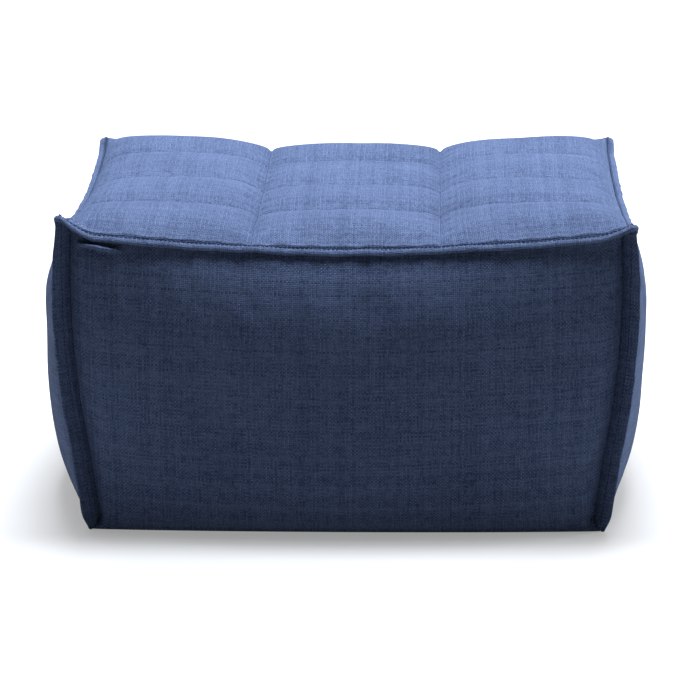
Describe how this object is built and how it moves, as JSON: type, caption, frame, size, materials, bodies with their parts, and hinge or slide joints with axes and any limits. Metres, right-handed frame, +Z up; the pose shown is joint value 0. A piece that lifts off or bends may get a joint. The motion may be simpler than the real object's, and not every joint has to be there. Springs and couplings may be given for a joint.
{
  "type": "upholstered footstool",
  "caption": "Square upholstered footstool with a pillowy quilted top, swollen tapering side panels and flanged, topstitched seams, all in one woven cloth",
  "frame": {"origin": "on the floor under the middle of the footstool", "axes": "X to the right seen from the front, Y to the back, Z up"},
  "size_m": [0.7642, 0.7548, 0.403],
  "materials": {
    "cloth": "woven melange upholstery cloth, matt",
    "base_cloth": "plain woven cloth, matt"
  },
  "bodies": {
    "root": {"quilted_body": "cloth", "front_panel": "cloth", "right_panel": "cloth", "back_panel": "cloth", "left_panel": "cloth", "base_panel": "base_cloth", "top_seam_front": "cloth", "top_seam_right": "cloth", "top_seam_back": "cloth", "top_seam_left": "cloth", "corner_seam_front_right": "cloth", "corner_seam_back_right": "cloth", "corner_seam_back_left": "cloth", "corner_seam_front_left": "cloth"}
  },
  "joints": []
}
